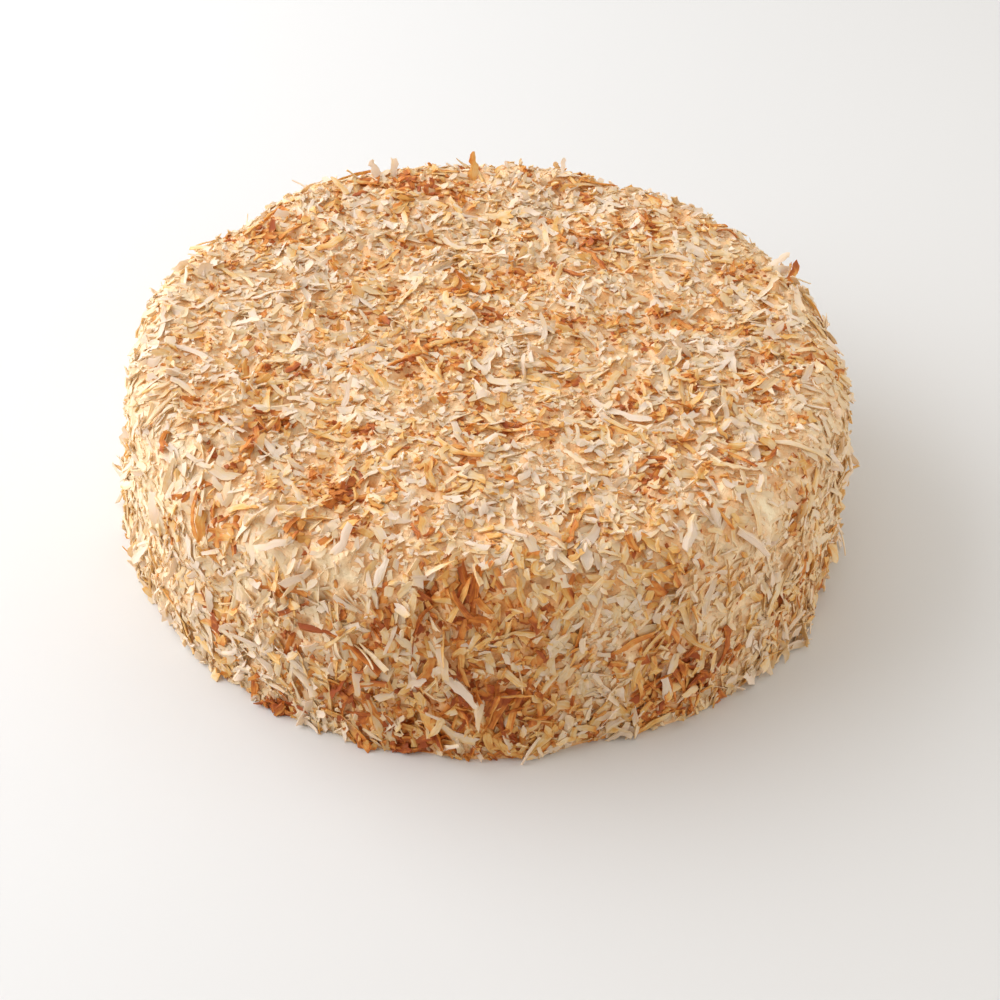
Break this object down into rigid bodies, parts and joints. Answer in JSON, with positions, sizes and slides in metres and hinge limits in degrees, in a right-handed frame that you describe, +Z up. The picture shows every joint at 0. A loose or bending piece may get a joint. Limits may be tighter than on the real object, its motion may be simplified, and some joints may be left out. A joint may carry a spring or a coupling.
{
  "type": "coconut cake",
  "caption": "Whole round layer cake iced in cream and coated all over with toasted shredded coconut.",
  "frame": {"origin": "middle of the flat base that the cake stands on", "axes": "+Z up; the pictured front faces -Y"},
  "size_m": [0.2342, 0.2392, 0.0731],
  "materials": {
    "toasted_coconut": "dry matte shreds of coconut, from ivory to toasted brown, a little translucent",
    "icing": "soft cream icing with a satin surface"
  },
  "bodies": {
    "root": {"cake": "toasted_coconut"}
  },
  "joints": []
}
